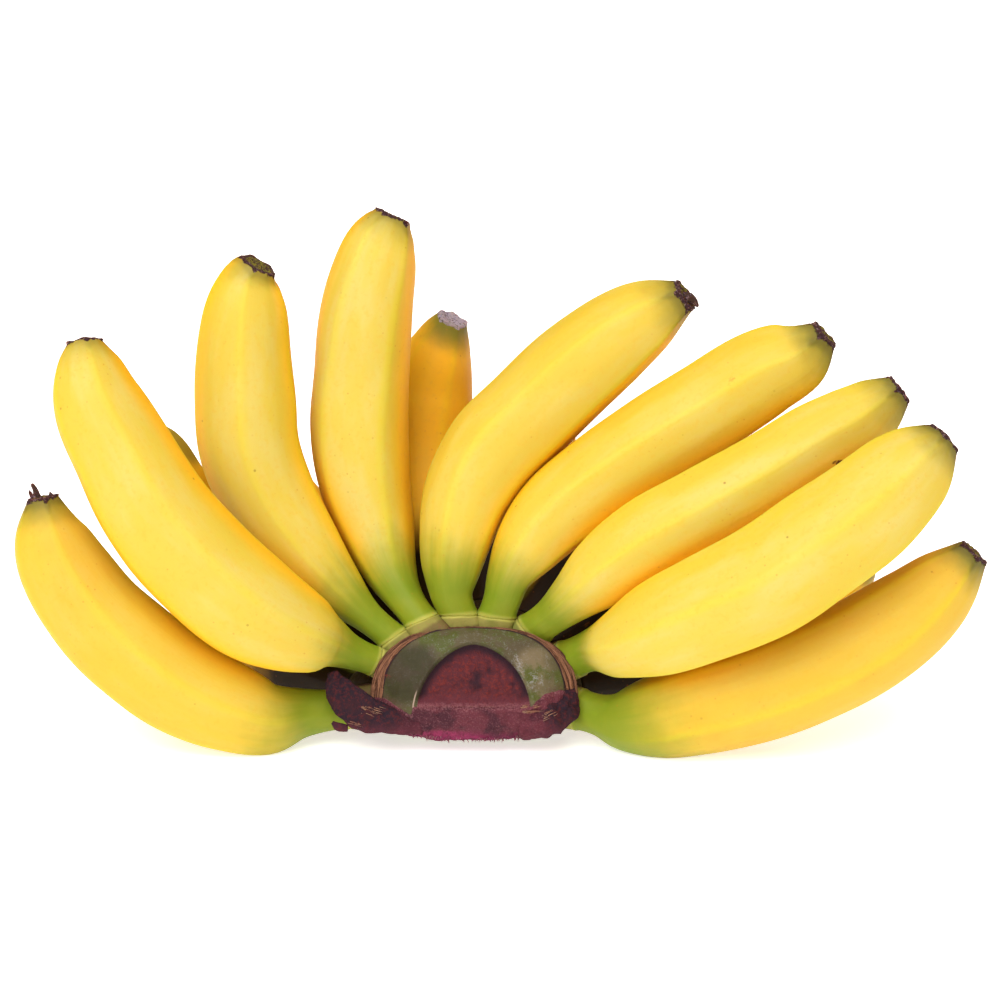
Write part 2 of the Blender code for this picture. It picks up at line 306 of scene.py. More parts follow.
# %% Middle lines: (across, back, up, radius) in mm
FRONT_ROW = (
    ((-31, 2, -1, 4.6), (-43, 0, -2, 6.5), (-52, -3, -3, 9.6), (-62, -5, 0.1, 11.7),
     (-74, -6, 5.8, 12.9), (-84, -7, 13.2, 13.2), (-95, -7, 23.2, 12.6), (-103.3, -7, 34.7, 11.6),
     (-107.3, -8, 43.8, 9.5), (-109, -9, 53.5, 4.1)),
    ((-23.8, -0.5, 11.3, 3.4), (-30.8, -3, 14.2, 4.7), (-35.5, -5.5, 16.5, 6.7),
     (-40.5, -9, 18.5, 10), (-53.5, -14, 25, 13.6), (-66.9, -17, 36.4, 14.3),
     (-78.9, -18, 50.4, 13.9), (-87.5, -17, 65.5, 12.8), (-94, -16, 78, 11.3),
     (-96.5, -15, 87.5, 8.2), (-97.5, -14, 93.2, 4.5)),
    ((-19.2, 2, 17.3, 3.6), (-26.5, 2.5, 23.3, 4.4), (-33.5, 3, 30, 7.1),
     (-42, 3.5, 39.5, 10.2), (-51.5, 4, 53.5, 12.3), (-56.6, 3, 67, 13.1), (-57.6, 2, 79.5, 13.1),
     (-57.9, 0, 92.5, 12.2), (-57.2, -2, 102.5, 10.8), (-56.5, -3, 107.7, 9.1),
     (-55.5, -4, 111.3, 7.2), (-53.9, -5, 114, 4.9)),
    ((-11.9, 1.5, 21.8, 3.9), (-16, 4.5, 27, 4.7), (-20, 8.5, 34, 6.8), (-24, 12.5, 45.5, 9.9),
     (-27.4, 13.5, 58, 12.1), (-28.8, 13, 72, 13), (-28, 11, 87.5, 12.6), (-26.4, 7, 103, 12.1),
     (-23.8, 4, 114.5, 10.7), (-22.4, 3.2, 119.6, 9.4), (-20.7, 2.8, 124, 7.4),
     (-19.3, 2.6, 127, 4.9)),
    ((-2.1, 1.5, 23.3, 4.2), (-4, 1.5, 28.5, 5.4), (-4, 2, 35, 7.6), (-2.7, 3.5, 44, 9.6),
     (0.5, 5.5, 55, 11.5), (7, 6, 66, 12.8), (17, 5, 76, 12.8), (28.5, 3, 87, 12.6),
     (39.5, 0, 96, 11.4), (48, -3, 101.5, 9), (56, -6, 105.7, 4.3)),
    ((7.7, 1.5, 23, 4.3), (9.5, 1, 28, 4.9), (11, 0.5, 33, 5.8), (15, 0, 40, 8.4),
     (22, 0, 48.5, 10.4), (33, -0.5, 57.2, 11.6), (47.6, -1.5, 67.5, 11.7),
     (63.1, -3.5, 77.2, 11.8), (76.7, -6, 86, 11.2), (85.8, -8, 90.4, 9), (91.7, -10, 95.4, 4.2)),
    ((17.7, 1.2, 19.8, 4.3), (22.5, -2, 23.5, 4.9), (27.5, -6, 28, 6.4), (35, -9.5, 34.5, 9.2),
     (45.5, -13, 42, 10.9), (60.5, -15, 50.5, 11), (76, -15.5, 59.2, 10.8),
     (89.4, -15, 67.5, 10.5), (99.5, -14.5, 73.2, 9.5), (105, -15, 77.3, 7.5),
     (110, -15.5, 81.2, 4.1)),
    ((27.2, 1, 12, 4.6), (33.2, -4.2, 14.6, 5.6), (39.5, -13, 16.5, 8.5), (48.5, -20, 20.5, 11.7),
     (60.5, -26, 26, 13.2), (75, -30, 33, 14.1), (88, -32, 42, 14), (100, -33, 51, 13.3),
     (108.2, -33, 58.5, 11.8), (113.6, -32, 63.6, 9.2), (118.7, -31, 68.3, 4.7)),
    ((29, 2, -1.2, 4.8), (35, -1, -2.7, 5.6), (40, -3, -3.6, 7.9), (48.5, -6, -2.6, 10.8),
     (59, -9, 0.3, 12.2), (74, -11, 4.5, 12.9), (88.5, -12, 10, 13.2), (103, -13, 17.6, 12.7),
     (113.8, -14, 25.1, 11.5), (121.7, -16, 32.7, 8.9), (128.6, -18, 40, 4.1)),
)
BACK_ROW = (
    ((-29, 15, 3, 4.4), (-37, 25, 5, 6), (-46, 37, 8, 9.5), (-56, 49, 13.5, 12),
     (-66, 60, 20.5, 12.8), (-75, 69, 29, 12.4), (-80, 74, 39, 10.6), (-82, 77, 47, 7.5),
     (-82.5, 78.5, 53, 4.2)),
    ((-24.5, 15, 12.4, 4.2), (-34, 19.5, 17.5, 6), (-48, 24.5, 25.5, 9.8),
     (-63.5, 29.5, 35.5, 11.2), (-76, 31, 46.5, 10.8), (-81.5, 28, 58, 10.4),
     (-84.5, 25, 66.5, 8.2), (-88, 21, 72, 4.2)),
    ((-16, 16, 18.8, 4.2), (-25.5, 26, 26, 5.8), (-38, 38, 36.5, 9.4), (-48.8, 45.5, 48.2, 11),
     (-59.3, 46.5, 60.5, 11.2), (-63.5, 43, 72, 9.3), (-65.2, 38, 81.3, 4.2)),
    ((-6, 16, 23, 4.3), (-8.5, 25, 31, 5.6), (-11.5, 35, 46, 9.8), (-12.6, 41, 64, 12.1),
     (-11.2, 41, 81.5, 12.1), (-8.9, 38, 91, 9.9), (-6.7, 36, 97.3, 7.2), (-4.5, 33.5, 102.2, 4.1)),
    ((4, 16, 23.5, 4.3), (4.5, 27, 31, 5.6), (7.5, 41, 42, 9.2), (11.5, 50, 54, 11.6),
     (17, 53, 66, 11.8), (21, 51, 76, 9.4), (25, 47, 84, 4.2)),
    ((13.8, 15.5, 20.3, 4.3), (19.5, 26, 25.5, 5.8), (29, 38, 35, 9.6), (41, 45, 46.5, 11.8),
     (54, 45, 58, 11.8), (64, 41, 66.5, 9.6), (72, 36, 73, 4.2)),
    ((22, 15, 13, 4.3), (30, 20, 17.5, 5.6), (43, 25, 25.5, 9.5), (60, 29, 34.5, 11.8),
     (75, 30, 43.5, 11.9), (87, 28, 53, 9.6), (96, 24, 61.5, 4.2)),
    ((27.5, 15, 4, 4.3), (36, 23, 5.5, 6), (49, 34, 8, 10), (64, 44, 12.3, 12.3),
     (78, 49, 16.5, 12.6), (91, 49, 22, 11.8), (100, 45.5, 29, 9.8), (105, 43, 34.8, 7.4),
     (108, 41, 39.5, 4.2)),
)
print("fingers:", len(FRONT_ROW), "in front,", len(BACK_ROW), "behind")

# %% [markdown]
# ## A smooth line and its frames
#
# Between the points of a table the line has to bend without a kink, and the radius has to swell
# with it. A centripetal Catmull-Rom curve does both at once when the radius is simply the
# fourth number of each point. At any distance along it we then need a frame: the middle, the
# way the line runs, the side that faces the viewer, and the side across.

# %% Curve and frames
CURVE_STEPS = 24


def curve_through(points):
    """Points close together on a smooth curve through the given ones, by centripetal steps."""
    points = [Vector(p) for p in points]
    points = [2 * points[0] - points[1], *points, 2 * points[-1] - points[-2]]
    found = []
    for a, b, c, d in zip(points, points[1:], points[2:], points[3:]):
        knots = [0.0]
        for p, q in ((a, b), (b, c), (c, d)):
            knots.append(knots[-1] + math.sqrt((q - p).length))
        t0, t1, t2, t3 = knots
        for step in range(CURVE_STEPS):
            t = t1 + (t2 - t1) * step / CURVE_STEPS
            ab = a.lerp(b, (t - t0) / (t1 - t0))
            bc = b.lerp(c, (t - t1) / (t2 - t1))
            cd = c.lerp(d, (t - t2) / (t3 - t2))
            abc = ab.lerp(bc, (t - t0) / (t2 - t0))
            bcd = bc.lerp(cd, (t - t1) / (t3 - t1))
            found.append(abc.lerp(bcd, (t - t1) / (t2 - t1)))
    return [*found, points[-2]]


class Line:
    """A finger's middle line, which knows its frame at any distance from the neck, in mm."""

    def __init__(self, table):
        self.points = curve_through(table)
        places = [p.to_3d() for p in self.points]
        self.distances = [0.0]
        for p, q in zip(places, places[1:]):
            self.distances.append(self.distances[-1] + (q - p).length)
        self.ways, self.facings = [], []
        facing, last = FACING, len(places) - 1
        for k in range(len(places)):
            way = (places[min(k + 1, last)] - places[max(k - 1, 0)]).normalized()
            facing = (facing - way * facing.dot(way)).normalized()
            self.ways.append(way)
            self.facings.append(facing)
        self.length = self.distances[-1]

    def frame(self, distance):
        """(middle, way, facing, side, radius); a straight run on past either end."""
        inside = min(max(distance, 0.0), self.length)
        k = max(i for i in range(len(self.points) - 1) if self.distances[i] <= inside)
        share = (inside - self.distances[k]) / (self.distances[k + 1] - self.distances[k])
        point = self.points[k].lerp(self.points[k + 1], share)
        way = self.ways[k].lerp(self.ways[k + 1], share).normalized()
        facing = self.facings[k].lerp(self.facings[k + 1], share)
        facing = (facing - way * facing.dot(way)).normalized()
        middle = point.to_3d() + way * (distance - inside)
        return middle, way, facing, way.cross(facing), point[3]


front_lines = [Line(table) for table in FRONT_ROW]
back_lines = [Line(table) for table in BACK_ROW]
print("front fingers are", [round(line.length) for line in front_lines], "mm long")

# %% [markdown]
# ## One straight tube for every finger
#
# Each finger's skin needs the same web of faces: rings of points, close together at the joint
# and at the flower end. It is made once, as a straight tube of radius 1, by drawing a circle
# and extruding it ring by ring. A copy is then carried onto each finger's line, and the height
# of a point in the straight tube says which ring it belongs to.

# %% The straight tube
def straight_tube(rings, sides):
    """A closed tube of radius 1 along Z, one unit of height from ring to ring."""
    bm = bmesh.new()
    bmesh.ops.create_circle(bm, segments=sides, radius=1)
    rim = bm.edges[:]
    for _ in range(rings - 1):
        grown = bmesh.ops.extrude_edge_only(bm, edges=rim)["geom"]
        verts = [g for g in grown if isinstance(g, bmesh.types.BMVert)]
        bmesh.ops.translate(bm, verts=verts, vec=(0, 0, 1))
        rim = [g for g in grown if isinstance(g, bmesh.types.BMEdge) and g.is_boundary]
    bmesh.ops.holes_fill(bm, edges=[e for e in bm.edges if e.is_boundary], sides=0)
    return bm


def ring_and_turn(vert):
    return round(vert.co.z), math.atan2(vert.co.y, vert.co.x)


MOST_CORNERS = 1e6  # more than any piece has


def corner_order(face):
    corners = [vert.index for vert in face.verts]
    return min(corners) * MOST_CORNERS + max(corners)


def make_piece(name, bm, material, slot, *nodes):
    """Turns a finished bmesh into a piece that stands for these solids."""
    bm.verts.index_update()
    bm.faces.sort(key=corner_order)  # extruded faces come in another order at each run
    bmesh.ops.recalc_face_normals(bm, faces=bm.faces)
    for face in bm.faces:
        face.smooth = True
    mesh = bpy.data.meshes.new(name)
    bm.to_mesh(mesh)
    bm.free()
    mesh.materials.append(material)
    piece = bpy.data.objects.new(name, mesh)
    scene.collection.objects.link(piece)
    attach(piece, "root")
    if nodes:
        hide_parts(*nodes)
    return piece


JOINT_STEPS = (-0.7, -0.3, -0.05, 0.2, 0.5, 0.9, 1.5, 2.2)  # mm from the joint
BODY_STEPS = 76
TIP_STEPS = (2.0, 1.4, 0.9, 0.5, 0.2, 0.0)  # mm from the end of the skin
# the dried end, ring by ring: (mm past the skin, share of the radius, height of its lobes)
CRUST = ((0.15, 1.0, 0.03), (0.32, 0.99, 0.06), (0.5, 0.96, 0.1), (0.66, 0.89, 0.13),
         (0.72, 0.79, 0.12), (0.55, 0.66, 0.08), (0.3, 0.5, 0.04), (0.15, 0.34, 0.0),
         (0.15, 0.18, 0.0), (0.15, 0.05, 0.0))
SIDES = 80
tube = straight_tube(len(JOINT_STEPS) + BODY_STEPS + len(TIP_STEPS) + len(CRUST), SIDES)
print("the straight tube has", len(tube.verts), "points")

# %% [markdown]
# ## Banana skin
#
# Ripe skin is not one yellow. It is lime green at the neck, where it ripens last, olive at the
# flower end, more lemon along the five ridges, and a little deeper in soft blotches, with a few
# tiny dark specks. Over that lie painted light and shade: painted amber shade near the next finger
# and on the sides turned away, painted shade on the back row's necks where they face the front
# row, and a painted highlight, paler, on the side that faces the viewer. Each is a mask, made from
# numbers that every point of the mesh carries: how far along the finger it is, how near a ridge,
# and how near the next finger. So the pattern follows every bend.

# %% The skin's material
YELLOW = (0.71, 0.56, 0.042)
CREAM_AND_HIGHLIGHT = (0.71, 0.63, 0.185)
LEMON = (0.70, 0.67, 0.025)
DEEP = (0.75, 0.44, 0.035)
PAINTED_SHADE_AMBER = (1.08, 0.56, 0.003)
LIME = (0.19, 0.28, 0.012)
PALE_JOINT = (0.55, 0.55, 0.12)
OLIVE = (0.22, 0.21, 0.025)
OLIVE_DARK = (0.07, 0.06, 0.02)
SPECK = (0.12, 0.05, 0.015)
RUST = (0.50, 0.17, 0.03)
CRUST_DARK = (0.045, 0.020, 0.024)
CRUST_PALE = (0.26, 0.17, 0.17)
CRUST_LILAC = (0.42, 0.38, 0.46)
PAINTED_GAP_SHADE = (0.015, 0.008, 0.002)


def banana_skin(name, is_back_row):
    material, start, here = paint(name)
    grow, from_tip = start.carried("grow"), start.carried("from_tip", "Fac")
    neck, tip_green, ridge = start.carried("marks").parts()
    painted_shade, deep, front = start.carried("sides").parts()
    blotch, patch, fine = here.grain(42, 2.0), here.grain(120), here.grain(700, 2.0)
    cream_patch = grow.stretch((1.7, 1.7, 0.045)).grain(1.0)
    fibre = grow.stretch((7.0, 7.0, 0.045)).grain(1.0)
    streak = grow.stretch((3.2, 3.2, 0.03)).grain(1.0, 2.0)

    # ripe yellow: deeper or paler in patches, a painted highlight on the side facing the viewer,
    # painted amber shade near the next finger and on the sides turned away, lemon on the ridges
    # front * 0.4 adds a painted highlight on the side that faces the viewer
    cream_and_highlight = (cream_patch.rise(0.38, 0.75) * 0.6 + front * 0.4) * (1 - deep * 0.75)
    crest_line = ridge.rise(0.15, 1.0) * (0.03 + fibre * 0.4 + (1 - front) * 0.15)
    colour = start.colour(YELLOW).coats(
        (DEEP, (blotch.rise(0.45, 0.80) * 0.6 + 0.4) * deep),
        (CREAM_AND_HIGHLIGHT, cream_and_highlight * 0.85),
        (DEEP, streak.rise(0.55, 0.85) * 0.25),
        # painted amber shade: near the next finger, on the back row and on the sides turned away
        (PAINTED_SHADE_AMBER, (painted_shade + (cream_patch - 0.5) * 0.3).rise(0.2, 0.8) * 0.8),
        (LEMON, crest_line * (1 - is_back_row * 0.5)),
        (DEEP, fine.rise(0.50, 0.75) * 0.25),
    )

    # the green neck, its pale joint, the olive flower end, and painted shade on back-row necks
    uneven = (patch - 0.5) * 0.6 + (streak - 0.5) * 0.35 + (fibre - 0.5) * 0.1
    tip_share = start.sum("MINIMUM", tip_green, 1.0)
    lilac = tip_green.rise(1.1, 1.4)
    shadowed = (from_tip + (patch - 0.5) * 3.0 - ridge * 1.5).rise(3.0, 0.3) * tip_share
    # painted shade: the back row's necks darken on the side that faces the front row
    gap_shade = (neck + (patch - 0.5) * 0.6).rise(2.8, 1.5) * front.rise(0.0, 0.45)
    colour = colour.coats(
        (LIME, (neck + uneven).rise(1.55, 0.45) * (0.80 + patch * 0.3)),
        (PALE_JOINT, grow.parts()[2].rise(1.3, 0.1) * 0.75),
        (OLIVE, (from_tip + (patch - 0.5) * 6.0).rise(9.5, 0.0) * tip_share),
        (OLIVE_DARK, shadowed * (1 - lilac) * 0.55),
        (PAINTED_GAP_SHADE, gap_shade * is_back_row),
    )

    # specks, rust dots, scuffs, two green spots of the back row, a rubbed spot and a bruise
    rust_dots = here.specks(560.0, 0.20, 0.08, 1, 0.55) * blotch.rise(0.35, 0.6)
    scuff = grow.stretch((2.5, 2.5, 0.16)).grain(1.0, 4.0, 0.7)
    hidden_green = here.spot((-78, 28, 67), (7, 9, 9)) + here.spot((108, 41, 36), (6, 8, 7))
    rubbed = here.spot((43.7, -1.8, 108.0), (3.0, 3.0, 0.55)) * fine.rise(0.35, 0.55)
    colour = colour.coats(
        (SPECK, here.specks(210.0, 0.10, 0.04, 0, 0.72) * 0.5),
        (RUST, rust_dots * 0.35),
        (RUST, scuff.rise(0.66, 0.74) * patch.rise(0.5, 0.7) * 0.45),
        (OLIVE, hidden_green * is_back_row * 0.75),
        (SPECK, rubbed * 0.6),
        (SPECK, here.spot((94, -23.5, 62.6), (1.9, 3.0, 0.8)) * fine.rise(0.3, 0.5)),
    )

    # the dried crust, which is olive again inside its rim
    crumb = here.grain(1300, 3.0, 0.7)
    pale = start.colour(CRUST_PALE).tint(CRUST_LILAC, lilac)
    inner = start.colour(OLIVE).tint(CRUST_DARK, crumb.rise(0.42, 0.55))
    crust_colour = start.colour(CRUST_DARK).coats(
        (pale, (crumb + lilac * 0.2).rise(0.5, 0.7)),
        (inner, from_tip.rise(-0.9, -1.5) * from_tip.rise(-4.2, -3.4) * (1 - lilac)),
    )
    ragged = ((here.grain(900, 2.0) - 0.5) * 1.8 - ridge * 0.9) * (1 - lilac * 0.7)
    crust = (from_tip + ragged).rise(0.3, -0.1)

    roughness = 0.48 + blotch * 0.12 + crust * 0.3
    relief = fine * 0.12 + fibre * 0.25 + crumb * crust * 3.0
    skin = finish_paint(start, colour.tint(crust_colour, crust), roughness, relief, 0.00022, 0.15)
    skin.inputs["Subsurface Weight"].default_value = 0.3
    skin.inputs["Subsurface Radius"].default_value = (1.0, 0.4, 0.08)
    skin.inputs["Subsurface Scale"].default_value = 0.004
    return material


front_skin = banana_skin("front banana skin", 0.0)
back_skin = banana_skin("back banana skin", 1.0)
print("materials:", front_skin.name, "and", back_skin.name)

# %% [markdown]
# ## The shape of a section
#
# Cut a banana across and you see a circle that leans towards a pentagon: five faces, almost flat,
# that meet in five soft ridges. A few cosine waves give that outline, and a narrow bump on each
# ridge gives the fine crest that catches the light. The whole finger is also never quite even, so
# a slow noise swells and shrinks it by a fraction of a millimetre.

# %% The section and the skin of one finger
RIDGES = 5
WAVE, SECOND_WAVE, CREST = 0.019, 0.006, 0.014  # shares of the radius
CREST_POWER, LEMON_POWER = 45, 9  # the greater, the narrower the crest and its lemon line
FOOT, LIP_HEIGHT, UNEVEN = 0.17, 0.035, 0.018  # shares of the radius too
JOINT_FELT = 4.5  # how far up the neck, in mm, a slanting joint is felt
# The next two lines set the painted amber shade: how far it reaches from the next finger, and its
# share on the sides turned away and over the back row.
GAP_FELT = 5.0  # at this many mm from the next finger a point still feels 37 per cent of it
SHADY_SIDE, BACK_ROW_SHADE = 0.8, 0.65
SHARP_FROM, RIPE_FROM = 1.2, 0.6


def section(turn, roll, strength):
    """The radius at this turn, as a share of a plain circle's."""
    wave = RIDGES * (turn - roll)
    crest = CREST * (0.5 + 0.5 * math.cos(wave)) ** CREST_POWER
    return 1 + strength * (WAVE * math.cos(wave) + SECOND_WAVE * math.cos(2 * wave) + crest)


def skin_size(radius, distance, length, turn, roll, sharp):
    """The section's radius with its ridges, the foot of the neck and the lip at the joint."""
    share = distance / length
    strength = 0.5 + 0.5 * min(share / 0.3, 1) + 0.8 * max(share - 0.85, 0) / 0.15
    size = radius * section(turn, roll, strength * sharp)
    size *= 1 + FOOT * math.exp(-max(distance, 0) / 2.0) * math.sin(turn) ** 2
    size *= 1 + LIP_HEIGHT * math.exp(-((distance - 0.6) / 0.5) ** 2)
    return size * (1 - 0.16 * max(-distance, 0) / 0.7)


def joint_slide(across, front, turned_deg, leaned_deg, depth):
    """How far a point near a joint slides along the neck, so that the joint lies square."""
    slide = across * math.tan(math.radians(turned_deg)) - front * math.tan(math.radians(leaned_deg))
    return slide * math.exp(-abs(depth) / JOINT_FELT)


def next_fingers(own):
    """A search tree of all the points of the other fingers' lines, and those points."""
    lines = [line for line in front_lines + back_lines if line is not own]
    others = [point for line in lines for point in line.points]
    near = kdtree.KDTree(len(others))
    for k, point in enumerate(others):
        near.insert(point.to_3d(), k)
    near.balance()
    return near, others


# The painted amber shade also lies over the back row, past the lower ridge of the sharper fingers,
# and on the sides turned away; the deepest yellow fingers get only the part near others.
def painted_shade_share(line, gap, turn, roll, sharp, deep):
    """How much painted amber shade falls on a point, this many mm from the next finger."""
    painted_shade = math.exp(-max(gap, 0) / GAP_FELT)
    if line in back_lines:
        return max(painted_shade, BACK_ROW_SHADE * min(1, 1.2 + math.cos(turn)))
    if deep >= RIPE_FROM:
        return painted_shade
    if sharp > SHARP_FROM:  # from the lower side ridge on
        past_ridge = (math.degrees(turn - roll) + 3) / 8
        return max(painted_shade, SHADY_SIDE * min(max(past_ridge, 0), 1))
    return max(painted_shade, SHADY_SIDE * abs(math.sin(turn)) ** 3)


def ring_steps(length, crust_thick):
    """How far along its line each ring of a finger's tube sits, in mm."""
    first, last = JOINT_STEPS[-1], length - TIP_STEPS[0]
    steps = [*JOINT_STEPS]
    steps += [first + (last - first) * (k + 1) / (BODY_STEPS + 1) for k in range(BODY_STEPS)]
    steps += [length - step for step in TIP_STEPS]
    return steps + [length + row[0] * crust_thick for row in CRUST]


def make_finger(name, line, look, material, seed):
    """The tube carried onto a finger's line, with its dried flower end."""
    near, others = next_fingers(line)
    roll_deg, twist_deg, sharp, deep, green_mm, tip_green, crust_thick, *slant = look
    bm = tube.copy()
    grow = bm.verts.layers.float_vector.new("grow")
    marks = bm.verts.layers.float_vector.new("marks")
    from_tip = bm.verts.layers.float.new("from_tip")
    sides = bm.verts.layers.float_vector.new("sides")
    steps = ring_steps(line.length, crust_thick)
    frames = [line.frame(step) for step in steps]
    skin_rings = len(steps) - len(CRUST)
    drift = Vector((seed * 3.7, seed * 1.3, 0))
    for vert in bm.verts:
        ring, turn = ring_and_turn(vert)
        distance = steps[ring]
        middle, way, facing, side, radius = frames[ring]
        share = distance / line.length
        roll = math.radians(roll_deg + twist_deg * (share - 0.5))
        turn += roll  # so that a column of points runs along each ridge
        out = facing * math.cos(turn) + side * math.sin(turn)
        if ring < skin_rings:
            size = skin_size(radius, distance, line.length, turn, roll, sharp)
            slow = noise.noise(middle / 15 + out * 0.7 + drift) * min(share * 6, 1)
            size *= 1 + UNEVEN * slow
        else:
            _, share_left, lobes = CRUST[ring - skin_rings]
            lobe = math.cos(RIDGES * (turn - roll)) + 0.5 * math.cos(3 * turn + seed)
            size = radius * share_left * (1 + lobes * lobe)
        place = middle + out * size
        across, front = size * math.sin(turn), size * math.cos(turn)
        place += way * joint_slide(across, front, *slant, distance)
        if ring >= skin_rings - 2:
            rough = noise.noise_vector(place / 0.9 + drift)
            place += rough * 0.24 + way * 0.35 * noise.noise(place / 2.0 + drift)
        vert.co = stand(place)
        vert.co.z = max(vert.co.z, 0)
        _, k, away = near.find(place)
        # painted amber shade from how near the next finger is; the third share below, how much the
        # skin faces the viewer, feeds the painted highlight
        painted_shade = painted_shade_share(line, away - others[k][3], turn, roll, sharp, deep)
        vert[sides] = (painted_shade, deep, max(math.cos(turn), 0) ** 2)
        crest = (0.5 + 0.5 * math.cos(RIDGES * (turn - roll))) ** LEMON_POWER
        vert[grow] = (math.cos(turn) + seed, math.sin(turn), max(distance, 0))
        vert[marks] = (max(distance, 0) / green_mm, tip_green, crest)
        vert[from_tip] = (line.length - distance) / (0.4 + 0.6 * crust_thick)
        if ring >= skin_rings:
            vert[from_tip] = -0.2 - 4 * (1 - CRUST[ring - skin_rings][1])
    for table in DRIED_PETALS.get(name, ()):
        for vert in add_bar(bm, [(*point, point[3]) for point in table], 8, 12, 0.25):
            vert[from_tip] = -1.0
    slot = "front_skin" if name.startswith("front") else "back_skin"
    return make_piece(name + "_skin", bm, material, slot, name)


# %% [markdown]
# ## Small dried bars
#
# A few things here are short bent bars: what is left of the flower on two of the fingers, and
# later the rags of leaf base on the crown. One helper carries a small tube onto a line of
# points, each with its own half width and half thickness, and roughens it.

# %% The bar
def add_bar(bm, table, rings, sides, roughness, waves=0.0):
    """Adds a bent bar of oval section through (across, back, up, half width, half thickness)."""
    points = curve_through(table)
    count = len(points) - 1
    bar = straight_tube(rings, sides)
    for vert in bar.verts:
        ring, turn = ring_and_turn(vert)
        k = round(ring * count / (rings - 1))
        way = (points[min(k + 2, count)].to_3d() - points[max(k - 2, 0)].to_3d()).normalized()
        facing = (FACING - way * FACING.dot(way)).normalized()
        side = way.cross(facing)
        wide, thick = points[k][3], points[k][4]
        place = points[k].to_3d() + facing * thick * math.cos(turn) + side * wide * math.sin(turn)
        rough = noise.noise_vector(place / 0.7) * roughness
        place += noise.noise_vector(place / 2.6) * waves + rough
        vert.co = stand(place)
        vert.co.z = max(vert.co.z, 0.0002)
    holder = bpy.data.meshes.new("one bar")
    bar.to_mesh(holder)
    bar.free()
    already = len(bm.verts)
    bm.from_mesh(holder)
    bpy.data.meshes.remove(holder)
    return list(bm.verts)[already:]


DRIED_PETALS = {
    "front_finger_1": (
        ((-110.2, -9, 53.2, 1.3), (-110.4, -9.1, 54.6, 1.0), (-110.9, -9.2, 56, 0.7),
         (-111.4, -9.3, 57.1, 0.5), (-111.5, -9.3, 57.6, 0.15)),
        ((-111.5, -9, 53.2, 0.6), (-111.8, -9, 54.4, 0.42), (-112.2, -9, 55.4, 0.35),
         (-112.2, -9, 55.9, 0.1)),
        ((-106.6, -9, 52.9, 1.2), (-106.6, -9, 54, 0.9), (-106.9, -9, 54.9, 0.5),
         (-107.1, -9, 55.3, 0.15)),
    ),
    "front_finger_5": (
        ((56, -6.3, 105.4, 1.7), (57.2, -6.8, 105.3, 1.6), (58.5, -7, 104.4, 1.1),
         (59.3, -7, 103.4, 0.5), (59.5, -7, 103, 0.15)),
    ),
}
print("dried petals on", ", ".join(DRIED_PETALS))

# %% [markdown]
# ## Seventeen fingers
#
# Every finger gets its own numbers: how its ridges are turned, how much they wind, how sharp they
# are, how deep its yellow is, how far up the green of the neck reaches, how green its flower end
# is, how thick its crust is, and how far its joint is turned and leaned from square to the neck.
# Such small differences keep a bunch from looking stamped out.

# %% Make the fingers: (roll, twist, sharp, deep, green, green of tip, crust, turned, leaned)
FRONT_LOOKS = (
    (0, 20, 0.8, 0.8, 20, 0.8, 0.9, 0, 0), (11, 5, 0.8, 0.15, 16, 0.45, 0.8, 0, 0),
    (-2, 0, 1.0, 0.2, 20, 0.55, 0.4, -16, 0), (-34, 30, 1.0, 0.0, 20, 0.6, 0.9, -18, 22),
    (54, 0, 1.3, 0.4, 15.5, 0.8, 1.2, -20, 0), (58, 15, 1.6, 0.4, 14, 0.9, 1.2, 14, 0),
    (64, 5, 1.4, 0.1, 15, 0.9, 1.2, 18, 0), (66, 10, 1.6, 0.0, 13, 0.9, 1.0, 19, 0),
    (-38, -5, 1.5, 1.0, 25, 1.0, 0.9, 0, 0),
)
BACK_LOOKS = (
    (0, 10, 1, 0.8, 18, 0.7, 1, 0, 0), (15, 0, 1, 0.8, 16, 1.0, 1, -8, 0),
    (40, 15, 1, 0.9, 17, 0.7, 1, -12, 0), (31, 20, 1, 1.0, 12, 1.5, 1, -5, 0),
    (25, -10, 1, 0.9, 16, 0.7, 1, 4, 0), (5, 0, 1, 0.9, 15, 0.7, 1, 12, 0),
    (50, 20, 1, 0.8, 17, 0.7, 1, 8, 0), (30, 0, 1, 0.8, 18, 1.0, 1, 0, 0),
)
pieces = []
for row, lines, looks, skin in (
    ("front_finger", front_lines, FRONT_LOOKS, front_skin),
    ("back_finger", back_lines, BACK_LOOKS, back_skin),
):
    for number, (line, look) in enumerate(zip(lines, looks), 1):
        pieces.append(make_finger(f"{row}_{number}", line, look, skin, len(pieces) + 1))
tube.free()
print(len(pieces), "fingers,", sum(len(p.data.polygons) for p in pieces), "faces")

# %% [markdown]
# ## The crown
#
# The crown is the cushion that all the fingers grow from, with the face where it was cut off
# the stalk. From the front it is a set of arches inside each other: the dark D-shaped cut, a
# thin lip, the wide waxy collar, the papery leaf scar, and the green cushion behind. Each arch
# is a flattened ring, so the body is again a tube carried onto rings, this time running from
# the cut face to the back.

